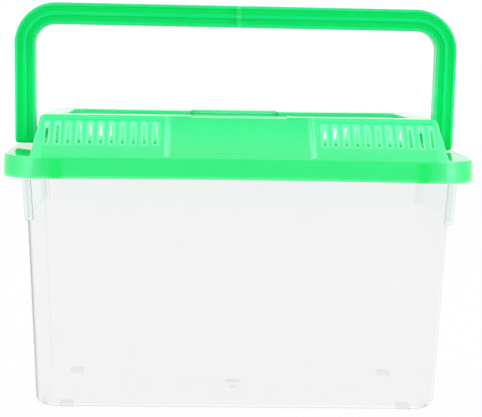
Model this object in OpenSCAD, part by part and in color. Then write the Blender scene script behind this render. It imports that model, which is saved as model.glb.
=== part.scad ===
// Plastic pet keeper: a clear tub, a vented lid that drops over it, a hinged feeding hatch in
// the lid's flat top, and a carrying handle that swings on two studs. Sizes are in millimetres.
// X runs along the keeper, the front faces -Y, and Z = 0 is the surface that it stands on.

/* [Tub] */
// Outside length of the tub at its foot
tub_l = 261; // [250:0.2:264]
// Outside depth of the tub at its foot
tub_w = 147.6; // [138:0.2:152]
// Height of the tub's mouth above the ground
tub_h = 163.4; // [130:0.2:180]
// How far each wall leans out for every millimetre of height
draft = 0.0509; // [0.03:0.001:0.055]
// Thickness of the tub's walls
tub_wall = 1.8; // [1.4:0.1:2.2]
// Thickness of the tub's floor
floor_t = 2.1; // [1.6:0.1:3]
// Plan radius of the tub's upright corners at the foot
foot_corner_r = 16; // [12:1:18]
// Plan radius of the tub's upright corners at the mouth
mouth_corner_r = 20; // [18:1:22]
// Radius where the walls turn into the floor
floor_fillet = 6; // [4:0.5:8]
// Depth of the hem that hangs from the mouth's flange
hem_h = 8.4; // [5:0.2:10]
// How far the shoulder on each end wall stands out at the top
shoulder_out = 2.8; // [2.6:0.1:4]
// How far those shoulders reach down from the mouth
shoulder_drop = 40.4; // [30:0.2:46]
// Half the depth of those shoulders, front to back
shoulder_half_w = 72.6; // [66:0.2:74]

/* [Feet] */
// Height of the four feet under the floor
foot_h = 1.4; // [1:0.1:2]
// Width of one foot along the keeper
foot_l = 9; // [8:0.5:14]
// Depth of one foot, front to back
foot_w = 14; // [8:0.5:16]
// Distance from the middle to each foot along the keeper
foot_x = 110.6; // [100:0.2:114]
// Distance from the middle to each foot, front to back
foot_y = 59; // [50:0.5:60]

/* [Lid] */
// Length of the lid over its rim
rim_l = 301.6; // [296:0.2:304]
// Depth of the lid over its rim
rim_w = 193; // [190:1:196]
// Plan radius of the rim's corners
rim_corner_r = 27; // [26:1:36]
// Height of the rim's upright band
rim_h = 14; // [13:0.5:18]
// Thickness of the lid
lid_wall = 1.8; // [1.5:0.1:2]
// Clearance between the closed lid and the tub's flange
seat_gap = 0.3; // [0.3:0.1:0.4]
// Half the length of the raised dome at its foot
dome_foot_half_l = 133; // [132:0.5:133.5]
// Half the length of the dome's flat top
dome_top_half_l = 128; // [126:0.5:129]
// Half the depth of the dome's flat top
dome_top_half_w = 68; // [66:0.5:70]
// Height of the dome above the rim
dome_rise = 25.5; // [24:0.5:27]
// Plan radius of the dome's corners
dome_corner_r = 8.2; // [7:0.2:12]
// Rounding along the dome's top edges at its ends
dome_end_round = 4; // [3:0.5:5]
// Rounding along the dome's top edges at the front and back
dome_edge_round = 1.6; // [1:0.2:2.4]

/* [Vents] */
// Slots in each bank
slot_count = 11; // [8:1:11]
// Distance from one slot to the next
slot_pitch = 6.9; // [6.6:0.1:6.9]
// Width of one slot
slot_w = 1.9; // [1.5:0.1:2.4]
// Distance from the middle to the first slot of a front bank
front_slot_start = 54; // [53:0.5:55]
// Distance from the middle to the first slot of a back bank
back_slot_start = 54.5; // [53:0.5:55]
// Where the front slots end at the foot of the slope, from the middle
front_slot_end = 86.5; // [85:0.5:90]
// Where the back slots end at the foot of the slope, from the middle
back_slot_end = 91; // [86:0.5:91.5]
// Where all the slots start at the top of the slope, from the middle
slot_top = 72.5; // [72:0.5:76]
// Depth of the shallow field around each bank
field_depth = 0.4; // [0.2:0.1:0.6]
// How far the plain panel between the banks is sunk
panel_depth = 0.9; // [0.5:0.1:1]
// Half the width of that panel at the top of the slope
panel_top_half = 45.6; // [42:0.2:46]
// Half the width of that panel at the foot of the slope
panel_foot_half = 47.5; // [46:0.5:48]

/* [Hatch] */
// Length of the recess that the hatch lies in
recess_l = 225; // [215:1:236]
// Depth of that recess, front to back
recess_w = 98; // [90:1:100]
// Plan radius of the recess's corners
recess_r = 10; // [8:1:16]
// How far the closed hatch lies below the flat top
hatch_sink = 2.4; // [2:0.1:3]
// Thickness of the hatch
hatch_t = 1.7; // [1.4:0.1:2]
// Width of the rebate that carries the hatch's edge
rebate_w = 5; // [4:0.5:7]
// Gap between the hatch and the recess's wall
hatch_gap = 0.6; // [0.5:0.1:1]
// Radius of the hatch's hinge barrel
barrel_r = 2.4; // [2.2:0.1:2.4]
// Length of the hinge barrel
barrel_l = 60; // [50:1:60]
// Radius of the pins at the barrel's ends
hinge_pin_r = 1.2; // [1:0.1:1.4]
// Radial clearance of every pin and stud in its hole
pin_clearance = 0.08; // [0.04:0.01:0.1]
// Half the width of the finger well in front of the hatch
well_half_l = 30.8; // [24:0.2:31]
// Thickness of the lip between that well and the slope
well_lip = 1.6; // [1.2:0.1:2]

/* [Handle] */
// Height of the handle's upper face above the rim
handle_rise = 98; // [90:0.5:110]
// Height of the bar, top to bottom
bar_h = 14.6; // [12:0.1:16]
// Depth of the handle, front to back
handle_d = 14; // [10:0.5:14]
// Half the handle's outside width just under its corners
handle_half_top = 149.4; // [148.6:0.1:149.8]
// Half the handle's outside width at its feet
handle_half_foot = 148.4; // [148:0.1:149.4]
// Width of a leg just under the corners
leg_w_top = 13.8; // [12:0.1:14]
// Width of a leg at its foot
leg_w_foot = 14; // [12:0.1:14.2]
// Outside radius of the handle's corners
handle_r_out = 28; // [24:1:32]
// Inside radius of the handle's corners
handle_r_in = 13.4; // [10:0.2:16]
// Depth of the channels along both faces
channel_depth = 3; // [1:0.1:4]
// Height of the pivot above the rim
pivot_rise = 9.5; // [9:0.1:12]
// Radius of the rounded leg end around the pivot
leg_end_r = 7.2; // [7:0.1:7.8]
// Radius of the pivot studs
stud_r = 3.4; // [3:0.1:3.8]
// Radius of the bosses that the studs turn in
boss_r = 6.6; // [5.5:0.1:7]

/* [Hidden] */
$fn = 64;
sliver = 0.01;                 // thickness of the discs that a hull is stretched over
past = 1;                      // how far a cut runs past the face that it opens
rim_top = tub_h + seat_gap + lid_wall;
rim_low = rim_top - rim_h;
rim_under = rim_top - lid_wall;
flange_gap = 1;                // between the tub's flange and the inside of the rim
flange_l = rim_l - 2 * lid_wall - 2 * flange_gap;
flange_w = rim_w - 2 * lid_wall - 2 * flange_gap;
flange_r = rim_corner_r - lid_wall - flange_gap;
flange_t = 2;
hem_t = 1.6;
dome_top = rim_top + dome_rise;
shoulder_z = tub_h - shoulder_drop;
shoulder_taper = 0.9;          // how much less a shoulder stands out at its foot
dome_foot_half_w = rim_w / 2 - 0.8;
recess_floor = dome_top - hatch_sink - hatch_t - seat_gap;
tray_t = 2;                    // thickness of the plastic under the recess
under_edge = 3;                // how far the well and the hinge's pocket run in under the hatch's edge
hinge_y = recess_w / 2 + 3;
hinge_z = dome_top + 0.8 - barrel_r;
hinge_room = 1;                // space round the hinge barrel
pin_reach = 2.4;
well_floor = recess_floor - 2;
well_lean = 2;                 // how much further forward the well's front wall is at its floor
lip_reach = 0.4;               // how far the lip's level top may run past that
panel_ease = [1.8, 0.5];       // where the eased edge over the panel starts and ends, from the slope's top
handle_top = rim_top + handle_rise;
pivot_z = rim_top + pivot_rise;
channel_foot = pivot_z - 4.4;
channels = [[0.155, 0.41], [0.585, 0.84]];   // shares of the handle's width that each channel spans
stud_l = 9;
stud_root = 2;
gate_r = 2;
gate_h = 0.5;

// Half the length and half the depth of the tub's outside at height z
function half_l(z) = tub_l / 2 + draft * z;
function half_w(z) = tub_w / 2 + draft * z;
function corner_r(z) = foot_corner_r + (mouth_corner_r - foot_corner_r) * z / tub_h;
// Height of the outside of the front slope at a distance y from the middle
function slope_z(y) = dome_top - dome_rise * (y - dome_top_half_w) / (dome_foot_half_w - dome_top_half_w);

// A rectangle with rounded corners, centred
module rounded_rect(l, w, r) {
    square([l - 2 * r, w], center = true);
    square([l, w - 2 * r], center = true);
    for (sx = [-1, 1], sy = [-1, 1])
        translate([sx * (l / 2 - r), sy * (w / 2 - r)]) circle(r = r);
}

module rounded_plate(l, w, r, low, high) {
    translate([0, 0, low]) linear_extrude(height = high - low) rounded_rect(l, w, r);
}

// A symmetric trapezoid standing on low, with its two upper corners rounded
module rounded_trapezoid(foot_half, top_half, low, high, r) {
    lean = atan((foot_half - top_half) / (high - low));
    reach = r * tan((90 - lean) / 2);
    side = [top_half + reach * sin(lean), high - reach * cos(lean)];
    polygon([[-foot_half, low], [-side[0], side[1]], [-(top_half - reach), high],
             [top_half - reach, high], [side[0], side[1]], [foot_half, low]]);
    for (s = [-1, 1]) translate([s * (top_half - reach), high - r]) circle(r = r);
}

// Puts a drawing in the plane of X and Z, and gives it a depth along Y
module front_extrude(depth) {
    rotate([90, 0, 0]) linear_extrude(height = depth, center = true) children();
}

// Puts a drawing in the plane of Y and Z, and gives it a length along X
module side_extrude(length) {
    rotate([90, 0, 90]) linear_extrude(height = length, center = true) children();
}

// ---- Tub ----

// One level of the tub's form: four corner discs, pulled in by inset and by the fillet
module tub_level(z, inset, pull) {
    r = corner_r(z) - inset;
    for (sx = [-1, 1], sy = [-1, 1])
        translate([sx * (half_l(z) - inset - r), sy * (half_w(z) - inset - r), z])
            cylinder(r = r - pull, h = sliver, $fn = 48);
}

// The tub's form with every face moved in by inset, from height low to height high
module tub_form(inset, low, high) {
    fillet = floor_fillet - inset;
    hull() {
        for (turn = [0:15:90]) tub_level(low + fillet * (1 - cos(turn)), inset, fillet * (1 - sin(turn)));
        tub_level(high - sliver, inset, 0);
    }
}

// The shoulder on one end wall, with every face moved in by inset
module shoulder(inset) {
    z_top = tub_h - flange_t - inset;
    out_top = half_l(z_top) + shoulder_out - inset;
    out_low = half_l(shoulder_z) + shoulder_out - shoulder_taper - inset;
    in_x = half_l(0) - 6;
    front_extrude(2 * (shoulder_half_w - inset))
        polygon([[in_x, shoulder_z + inset], [out_low, shoulder_z + inset], [out_top, z_top], [in_x, z_top]]);
}

module flange() {
    rounded_plate(flange_l, flange_w, flange_r, tub_h - flange_t, tub_h);
    difference() {
        rounded_plate(flange_l, flange_w, flange_r, tub_h - hem_h, tub_h - flange_t / 2);
        rounded_plate(flange_l - 2 * hem_t, flange_w - 2 * hem_t, flange_r - hem_t,
            tub_h - hem_h - past, tub_h);
    }
}

module feet() {
    for (sx = [-1, 1], sy = [-1, 1]) translate([sx * foot_x, sy * foot_y, 0])
        rounded_plate(foot_l, foot_w, 2, 0, foot_h + floor_t / 2);
}

module tub() {
    color([0.9, 0.94, 0.94, 0.45]) {
        difference() {
            union() {
                tub_form(0, foot_h, tub_h);
                flange();
                shoulder(0);
                mirror([1, 0, 0]) shoulder(0);
            }
            tub_form(tub_wall, foot_h + floor_t, tub_h + past);
            shoulder(tub_wall);
            mirror([1, 0, 0]) shoulder(tub_wall);
        }
        feet();
        translate([0, 0, foot_h - gate_h]) cylinder(r = gate_r, h = gate_h + floor_t / 2);
    }
}

// ---- Lid ----

// The raised dome with every face moved in by inset, from height low up
module dome_form(inset, low) {
    drop = rim_top - low;
    end_slope = (dome_foot_half_l - dome_top_half_l) / dome_rise;
    long_slope = (dome_foot_half_w - dome_top_half_w) / dome_rise;
    end_in = inset / cos(atan(end_slope));
    long_in = inset / cos(atan(long_slope));
    intersection() {
        front_extrude(rim_w)
            rounded_trapezoid(dome_foot_half_l + drop * end_slope - end_in,
                dome_top_half_l + inset * end_slope - end_in, low, dome_top - inset, dome_end_round - inset);
        side_extrude(rim_l)
            rounded_trapezoid(dome_foot_half_w + drop * long_slope - long_in,
                dome_top_half_w + inset * long_slope - long_in, low, dome_top - inset, dome_edge_round);
        rounded_plate(2 * (dome_foot_half_l - inset), 2 * (dome_foot_half_w - inset), dome_corner_r - inset,
            low, dome_top);
    }
}

// A layer of the front slope, depth thick measured downwards, between two distances from the middle
module slope_layer(depth, y_top, y_foot, x_from, x_to) {
    translate([(x_from + x_to) / 2, 0, 0]) side_extrude(x_to - x_from)
        polygon([[-y_top, slope_z(y_top) + past], [-y_foot, slope_z(y_foot) + past],
                 [-y_foot, slope_z(y_foot) - depth], [-y_top, slope_z(y_top) - depth]]);
}

// One bank of slots and the shallow field around it, on the front right
module vent_bank(slot_start, slot_end) {
    field_from = slot_start - slot_pitch * 0.65;
    field_to = slot_start + slot_pitch * (slot_count - 1) + slot_pitch * 0.45;
    slope_layer(field_depth, slot_top - 1.2, slot_end + 2, field_from, field_to);
    for (i = [0:slot_count - 1])
        translate([slot_start + slot_pitch * i, -(slot_top + slot_end) / 2, rim_top])
            linear_extrude(height = dome_rise) rounded_rect(slot_w, slot_end - slot_top, slot_w / 2 - sliver);
}

// The plain panel between two banks, and the eased edge over it
module centre_panel() {
    ease_from = dome_top_half_w - panel_ease[0];
    ease_to = dome_top_half_w + panel_ease[1];
    foot = dome_foot_half_w;
    intersection() {
        side_extrude(2 * panel_foot_half)
            polygon([[-ease_from, dome_top], [-ease_from, dome_top + past], [-foot, dome_top + past],
                     [-foot, slope_z(foot) - panel_depth], [-ease_to, slope_z(ease_to) - panel_depth]]);
        translate([0, 0, rim_top]) linear_extrude(height = dome_rise + past)
            polygon([[-panel_foot_half, -rim_w / 2], [-panel_top_half, -dome_top_half_w + 3],
                     [panel_top_half, -dome_top_half_w + 3], [panel_foot_half, -rim_w / 2]]);
    }
}

module slope_cuts(slot_start, slot_end) {
    vent_bank(slot_start, slot_end);
    mirror([1, 0, 0]) vent_bank(slot_start, slot_end);
    centre_panel();
}

// The solid plastic that the recess, the finger well and the hinge are cut into
module hatch_tray() {
    rounded_plate(recess_l + 2 * tray_t, recess_w + 2 * tray_t, recess_r + tray_t,
        recess_floor - tray_t, dome_top - lid_wall / 2);
    translate([-well_half_l - tray_t, -dome_top_half_w - well_lean, well_floor - tray_t])
        cube([2 * (well_half_l + tray_t), dome_top_half_w + well_lean - recess_w / 2 + rebate_w,
              recess_floor - well_floor + tray_t]);
    translate([-barrel_l / 2 - pin_reach - tray_t, 0, hinge_z - barrel_r - hinge_room - tray_t])
        cube([barrel_l + 2 * (pin_reach + tray_t), hinge_y + barrel_r + hinge_room + tray_t,
              dome_top - lid_wall / 2 - hinge_z + barrel_r + hinge_room + tray_t]);
}

// The hollow in front of the hatch that lets a finger reach under its edge
module finger_well() {
    front = dome_top_half_w - well_lip;
    back = recess_w / 2 - under_edge;
    lip_top = dome_top - panel_depth;
    side_extrude(2 * well_half_l)
        polygon([[-front, lip_top], [-front - well_lean, well_floor], [-back, well_floor],
                 [-back, dome_top + past], [-front - well_lean - lip_reach, dome_top + past],
                 [-front - well_lean - lip_reach, lip_top]]);
}

// The recess, the opening through it, the finger well, and the hinge's pocket and pin holes
module hatch_cuts() {
    rounded_plate(recess_l, recess_w, recess_r, recess_floor, dome_top + past);
    rounded_plate(recess_l - 2 * rebate_w, recess_w - 2 * rebate_w, recess_r - rebate_w,
        rim_under, dome_top + past);
    finger_well();
    translate([-barrel_l / 2 - hatch_gap, recess_w / 2 - under_edge, hinge_z - barrel_r - hinge_room])
        cube([barrel_l + 2 * hatch_gap, hinge_y + barrel_r + hinge_room - recess_w / 2 + under_edge,
              2 * (barrel_r + hinge_room) + past]);
    translate([0, hinge_y, hinge_z]) rotate([0, 90, 0])
        cylinder(r = hinge_pin_r + pin_clearance, h = barrel_l + 2 * pin_reach + 0.8, center = true);
}

module pivot_boss() {
    translate([dome_top_half_l - 1.5, 0, pivot_z]) rotate([0, 90, 0])
        cylinder(r = boss_r, h = handle_half_foot - leg_w_foot - 1 - dome_top_half_l + 1.5);
}

module pivot_hole() {
    translate([dome_top_half_l - 6, 0, pivot_z]) rotate([0, 90, 0])
        cylinder(r = stud_r + pin_clearance, h = 12);
}

module lid() {
    color([0.12, 0.9, 0.47]) difference() {
        union() {
            difference() {
                union() {
                    rounded_plate(rim_l, rim_w, rim_corner_r, rim_low, rim_top);
                    dome_form(0, rim_under);
                }
                rounded_plate(rim_l - 2 * lid_wall, rim_w - 2 * lid_wall, rim_corner_r - lid_wall,
                    rim_low - past, rim_under);
                dome_form(lid_wall, rim_under - sliver);
            }
            hatch_tray();
            pivot_boss();
            mirror([1, 0, 0]) pivot_boss();
        }
        hatch_cuts();
        slope_cuts(front_slot_start, front_slot_end);
        mirror([0, 1, 0]) slope_cuts(back_slot_start, back_slot_end);
        pivot_hole();
        mirror([1, 0, 0]) pivot_hole();
    }
}

// ---- Hatch ----

module hatch() {
    low = dome_top - hatch_sink - hatch_t;
    plate_w = recess_w - 2 * hatch_gap;
    color([0.15, 0.92, 0.5]) {
        rounded_plate(recess_l - 2 * hatch_gap, plate_w, recess_r - hatch_gap, low, low + hatch_t);
        translate([-barrel_l / 2, plate_w / 2 - 2, low])
            cube([barrel_l, hinge_y - plate_w / 2 + 2, hatch_t]);
        translate([0, hinge_y, hinge_z]) rotate([0, 90, 0]) {
            cylinder(r = barrel_r, h = barrel_l, center = true);
            cylinder(r = hinge_pin_r, h = barrel_l + 2 * pin_reach, center = true);
        }
    }
}

// ---- Handle ----

// The arch that the handle's outside encloses, moved in by a share of the handle's own width
module arch(share) {
    r = handle_r_out + share * (handle_r_in - handle_r_out);
    top = handle_top - share * bar_h;
    x_top = handle_half_top - share * leg_w_top;
    x_foot = handle_half_foot - share * leg_w_foot;
    foot = pivot_z - leg_end_r;
    polygon([[-x_foot, foot], [-x_top, top - r], [-(x_top - r), top],
             [x_top - r, top], [x_top, top - r], [x_foot, foot]]);
    for (s = [-1, 1]) translate([s * (x_top - r), top - r]) circle(r = r);
}

// The stretch of the handle between two shares of its width
module arch_band(from, to) {
    difference() {
        arch(from);
        arch(to);
        if (from > 0) translate([-rim_l / 2, 0]) square([rim_l, channel_foot]);
        if (from == 0) translate([-handle_half_foot + leg_w_foot, 0])
            square([2 * (handle_half_foot - leg_w_foot), pivot_z]);
    }
}

module handle() {
    color([0.04, 0.86, 0.4]) {
        difference() {
            intersection() {
                front_extrude(handle_d) arch_band(0, 1);
                side_extrude(rim_l) {
                    translate([0, pivot_z]) circle(r = leg_end_r);
                    translate([-handle_d / 2, pivot_z]) square([handle_d, handle_top - pivot_z]);
                }
            }
            for (side = [-1, 1], span = channels) translate([0, side * handle_d / 2, 0])
                front_extrude(2 * channel_depth) arch_band(span[0], span[1]);
        }
        for (side = [-1, 1]) translate([side * (handle_half_foot - leg_w_foot + stud_root), 0, pivot_z])
            rotate([0, -90 * side, 0]) cylinder(r = stud_r, h = stud_root + stud_l);
    }
}

tub();
lid();
hatch();
handle();
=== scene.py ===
import math
import bmesh
import bpy
import numpy as np
from mathutils import Matrix


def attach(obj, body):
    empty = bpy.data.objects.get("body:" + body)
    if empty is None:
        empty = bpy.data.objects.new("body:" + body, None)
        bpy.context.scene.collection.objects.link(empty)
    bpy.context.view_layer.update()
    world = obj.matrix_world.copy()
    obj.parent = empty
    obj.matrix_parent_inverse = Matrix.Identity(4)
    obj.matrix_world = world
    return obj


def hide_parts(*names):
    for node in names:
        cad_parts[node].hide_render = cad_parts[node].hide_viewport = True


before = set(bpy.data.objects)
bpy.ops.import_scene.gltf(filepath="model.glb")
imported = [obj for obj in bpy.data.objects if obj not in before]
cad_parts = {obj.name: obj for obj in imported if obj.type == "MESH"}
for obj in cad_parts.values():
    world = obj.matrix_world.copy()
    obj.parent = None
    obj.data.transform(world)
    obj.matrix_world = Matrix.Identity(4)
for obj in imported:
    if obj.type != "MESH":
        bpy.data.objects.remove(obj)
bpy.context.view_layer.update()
print("frame loaded:", ", ".join(sorted(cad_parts)))


class Wire:
    # a socket; the usual operators, with another Wire or a number, add Math nodes
    def __init__(self, tree, socket):
        self.tree, self.socket = tree, socket

    def math(self, operation, first, second=0.0, clamp=False):
        settings = {"operation": operation, "use_clamp": clamp}
        return self.tree.add("ShaderNodeMath", settings, {0: first, 1: second})[0]

    def __add__(self, other): return self.math("ADD", self, other)
    def __radd__(self, other): return self.math("ADD", other, self)
    def __sub__(self, other): return self.math("SUBTRACT", self, other)
    def __rsub__(self, other): return self.math("SUBTRACT", other, self)
    def __mul__(self, other): return self.math("MULTIPLY", self, other)
    def __rmul__(self, other): return self.math("MULTIPLY", other, self)
    def __pow__(self, other): return self.math("POWER", self, other)
    def __abs__(self): return self.math("ABSOLUTE", self)
    def clamped(self): return self.math("ADD", self, 0.0, True)

    def ramp(self, low, high):  # 0 at low, 1 at high, eased at both ends
        settings = {"interpolation_type": "SMOOTHSTEP"}
        return self.tree.add("ShaderNodeMapRange", settings, {0: self, 1: low, 2: high})[0]


class Tree:
    # the nodes of one material or world
    def __init__(self, owner):
        owner.use_nodes = True
        self.nodes, self.links = owner.node_tree.nodes, owner.node_tree.links
        self.nodes.clear()

    def add(self, kind, settings=None, inputs=None):
        # one node: its settings first, then values or links for its sockets, by name or number
        node = self.nodes.new(kind)
        for key, value in (settings or {}).items():
            setattr(node, key, value)
        for key, value in (inputs or {}).items():
            if isinstance(value, Wire):
                self.links.new(value.socket, node.inputs[key])
            else:
                node.inputs[key].default_value = value
        return [Wire(self, socket) for socket in node.outputs if socket.enabled]

    def blend(self, share, first, second):  # colour mix
        settings = {"data_type": "RGBA"}
        return self.add("ShaderNodeMix", settings, {0: share, 6: first, 7: second})[0]

    def spot(self):  # Object coordinates
        return self.add("ShaderNodeTexCoord")[3]

    def place(self, spot):  # x, y and z of a spot in millimetres
        return [part * 1000.0 for part in self.add("ShaderNodeSeparateXYZ", None, {0: spot})]

    def seen(self):  # 1 where the camera sees it directly, in a mirror or through plastic
        rays = {wire.socket.name: wire for wire in self.add("ShaderNodeLightPath")}
        return (rays["Is Camera Ray"] + rays["Is Glossy Ray"] + rays["Is Transmission Ray"]).clamped()

    def noise(self, spot, scale, detail=3.0):
        return self.add("ShaderNodeTexNoise", None, {"Vector": spot, "Scale": scale, "Detail": detail})[0]

    def bump(self, height, strength, distance):
        return self.add("ShaderNodeBump", None, {"Height": height, "Strength": strength, "Distance": distance})[0]

    # the line colour is painted light and shade: painted shade on the tub, painted highlights on the lid and
    # handle
    def line(self):  # the share of line colour carried by the mesh
        return self.add("ShaderNodeAttribute", {"attribute_name": "line"})[2]

    def finish(self, shader, kind="ShaderNodeOutputMaterial"):
        self.add(kind, None, {0: shader})


def newMaterial(name):
    material = bpy.data.materials.new(name)
    return material, Tree(material)


def srgb(red, green, blue):
    # a colour as it reads on a screen, 0 to 255, turned linear
    def linear(value):
        value /= 255
        return value / 12.92 if value <= 0.04045 else ((value + 0.055) / 1.055) ** 2.4
    return (linear(red), linear(green), linear(blue), 1.0)


def gridFaces(rows, cols, aroundRows=False, aroundCols=False):
    # the quads of a grid of rows x cols points
    r = np.arange(rows if aroundRows else rows - 1)[:, None]
    c = np.arange(cols if aroundCols else cols - 1)[None, :]
    nextRow, nextCol = (r + 1) % rows, (c + 1) % cols
    return np.stack([r * cols + c, r * cols + nextCol, nextRow * cols + nextCol, nextRow * cols + c], -1)


def sheet(grid, aroundRows=False, aroundCols=False):
    # a grid of points as a part: its points and its quads
    rows, cols = grid.shape[:2]
    return grid.reshape(-1, grid.shape[2]), gridFaces(rows, cols, aroundRows, aroundCols).reshape(-1, 4)


def capped(rings):
    # rings of points stacked into a closed form: quads between the rings, and a face over each end
    count = rings.shape[1]
    ends = [(rings[0], np.arange(count)[None, ::-1]), (rings[-1], np.arange(count)[None])]
    return [sheet(rings, False, True)] + ends


def marked(points, share=0.0):
    # points with their share of the line colour, the painted light and shade, as a fourth number
    return np.pad(points, ((0, 0), (0, 1)), constant_values=share)


def makePiece(name, parts, material, body, replaced, weld=0.02, sharp=35):
    # parts are (points in millimetres, faces); points that meet within weld are joined, and edges sharper than
    # sharp degrees stay crisp; a point's fourth number, where it has one, is its share of the line colour, the
    # painted light and shade
    parts = [(p if p.shape[1] == 4 else marked(p), f) for p, f in parts]
    points = np.concatenate([p for p, f in parts])
    starts = np.cumsum([0] + [len(p) for p, f in parts])
    faces = [face for (p, f), start in zip(parts, starts) for face in (f + start).tolist()]
    mesh = bpy.data.meshes.new(name)
    mesh.from_pydata((points[:, :3] / 1000).tolist(), [], faces)
    mesh.attributes.new("line", "FLOAT", "POINT").data.foreach_set("value", points[:, 3].astype(np.float32))
    obj = bpy.data.objects.new(name, mesh)
    bpy.context.scene.collection.objects.link(obj)
    work = bmesh.new()
    work.from_mesh(mesh)
    bmesh.ops.remove_doubles(work, verts=work.verts, dist=weld / 1000)
    bmesh.ops.dissolve_degenerate(work, edges=work.edges, dist=weld / 4000)
    bmesh.ops.recalc_face_normals(work, faces=work.faces)
    openEdges = sum(1 for edge in work.edges if not edge.is_manifold)
    work.to_mesh(mesh)
    work.free()
    mesh.shade_smooth()
    mesh.set_sharp_from_angle(angle=math.radians(sharp))
    even = obj.modifiers.new("even normals", "WEIGHTED_NORMAL")
    even.keep_sharp = True
    mesh.materials.append(material)
    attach(obj, body)
    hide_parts(replaced)
    print(f"{name}: {len(mesh.polygons)} faces, {openEdges} open edges")
    return obj


def rounded(corners, counts):
    # a closed outline of (a, b, radius, carried...): each corner becomes an arc of its radius, count points long
    pts = np.array(corners, float)
    out = []
    for p, q, n, count in zip(pts, np.roll(pts, 1, 0), np.roll(pts, -1, 0), counts):
        u = (q[:2] - p[:2]) / np.linalg.norm(q[:2] - p[:2])
        v = (n[:2] - p[:2]) / np.linalg.norm(n[:2] - p[:2])
        turn = math.pi - math.acos(np.clip(u @ v, -1, 1))
        if count == 1 or turn < 0.01 or p[2] == 0:
            out.append(np.repeat(np.delete(p, 2)[None], count, 0))
            continue
        centre = p[:2] + (u + v) / np.linalg.norm(u + v) * p[2] / math.cos(turn / 2)
        start = p[:2] + u * p[2] * math.tan(turn / 2) - centre
        stop = p[:2] + v * p[2] * math.tan(turn / 2) - centre
        w = np.linspace(0, 1, count)[:, None]
        arc = (start * np.sin((1 - w) * turn) + stop * np.sin(w * turn)) / math.sin(turn)
        out.append(np.concatenate([centre + arc, np.repeat(p[None, 3:], count, 0)], 1))
    return np.concatenate(out)


def step(value, low, high):
    # 0 below low, 1 above high, eased between them
    t = np.clip((value - low) / (high - low), 0, 1)
    return t * t * (3 - 2 * t)


def mirrored(half):
    # a list of distances taken to both sides of the middle
    return np.concatenate([-half[::-1], [0.0], half])


class Ring:
    # the stations round a rounded rectangle, each a point and its outward normal: front, right end, back and
    # left end, with a corner after each
    def __init__(self, front, ends, back, turns):
        self.front, self.ends, self.back = front, ends, back
        self.endX, self.endY = front[-1], ends[-1]
        a = np.linspace(0, math.pi / 2, turns + 1)[1:-1]

        def run(px, py, nx, ny):
            return np.stack(np.broadcast_arrays(px, py, nx, ny), 1)
        runs = [run(front, -self.endY, 0.0, -1.0), run(self.endX, -self.endY, np.sin(a), -np.cos(a)),
                run(self.endX, ends, 1.0, 0.0), run(self.endX, self.endY, np.cos(a), np.sin(a)),
                run(back[::-1], self.endY, 0.0, 1.0), run(-self.endX, self.endY, -np.sin(a), np.cos(a)),
                run(-self.endX, ends[::-1], -1.0, 0.0), run(-self.endX, -self.endY, -np.cos(a), -np.sin(a))]
        self.stations = np.concatenate(runs)
        starts = np.cumsum([0] + [len(r) for r in runs])
        self.frontAt, self.rightAt, self.backAt, self.leftAt = starts[0], starts[2], starts[4], starts[6]

    def loft(self, length, width, corner, zSide, zEnd, keepX=0.0, keepY=0.0):
        # x = straight part + corner radius * normal, for each level (row) and station (column);
        # the height goes from zSide to zEnd round a corner, as the square of the normal's x. Points up to keepX
        # and keepY from the middle stay where they are, and those beyond are spread evenly up to the corner
        px, py, nx, ny = self.stations.T
        sx, sy = length - corner, width - corner
        far = np.clip((np.abs(px) - keepX) / (self.endX - keepX), 0, None)
        x = np.where(np.abs(px) <= keepX, px, np.sign(px) * (keepX + far * (sx - keepX)))
        far = np.clip((np.abs(py) - keepY) / (self.endY - keepY), 0, None)
        y = np.where(np.abs(py) <= keepY, py, np.sign(py) * (keepY + far * (sy - keepY)))
        z = zSide * (1 - nx ** 2) + zEnd * nx ** 2
        return np.stack([x + corner * nx, y + corner * ny, z + 0 * x], -1)


def plate(length, width, corner, levels, turns=6, segments=4):
    # a rounded rectangle carried through levels of (inset, height), closed at both ends
    straight = np.linspace(-1, 1, segments + 1)
    ring = Ring(straight * (length - corner), straight * (width - corner), straight * (length - corner), turns)
    inset, height = (np.array(v)[:, None] for v in zip(*levels))
    corner = corner - np.minimum(inset, corner - 0.1)
    return capped(ring.loft(length - inset, width - inset, corner, height, height))


def rod(radius, levels, centre, axis, count=32):
    # a round rod along an axis: levels of (distance along it, radius less this much)
    a = np.linspace(0, 2 * math.pi, count, endpoint=False)[None, :]
    along, less = (np.array(v)[:, None] for v in zip(*levels))
    across = [(radius - less) * np.cos(a), (radius - less) * np.sin(a)]
    across.insert(axis, along + 0 * a)
    return capped(np.stack(across, -1) + np.array(centre))


# sizes in millimetres, as half lengths and half widths (x, y), heights, and distances from the middle
lidShape = {
    "rim": (150.8, 96.5), "rimCorner": 27.0, "rimLow": 151.5, "rimTop": 165.5, "rimLean": 0.5, "wall": 1.8,
    "domeFoot": (133.0, 95.7), "domeTop": (128.0, 68.0), "top": 191.0, "domeStraight": 124.8,
    "recess": (112.5, 49.0), "recessCorner": 10.0, "rebate": 5.0, "recessFloor": 186.6,
    "slots": 11, "pitch": 6.9, "slotHalf": 0.95, "slotTop": 72.5, "frontStart": 54.0, "backStart": 54.5,
    "frontEnd": 86.5, "backEnd": 91.0, "fieldDepth": 0.4, "panelDepth": 0.9, "panelHalf": (45.6, 47.5),
    "pivotHeight": 175.0, "bossRadius": 6.6, "bossFace": 133.4, "holeRadius": 3.48,
    "frontBow": 0.9, "endBow": 1.1, "backSag": (0.75, 0.85)}
# how steeply the dome's slopes fall and its end walls lean in, and the wall's size along Z and X there
domeRise = lidShape["top"] - lidShape["rimTop"]
slopeFall = domeRise / (lidShape["domeFoot"][1] - lidShape["domeTop"][1])
endLean = (lidShape["domeFoot"][0] - lidShape["domeTop"][0]) / domeRise
slopeDrop, endDrop = (lidShape["wall"] * math.hypot(1, lean) for lean in (slopeFall, endLean))


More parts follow.
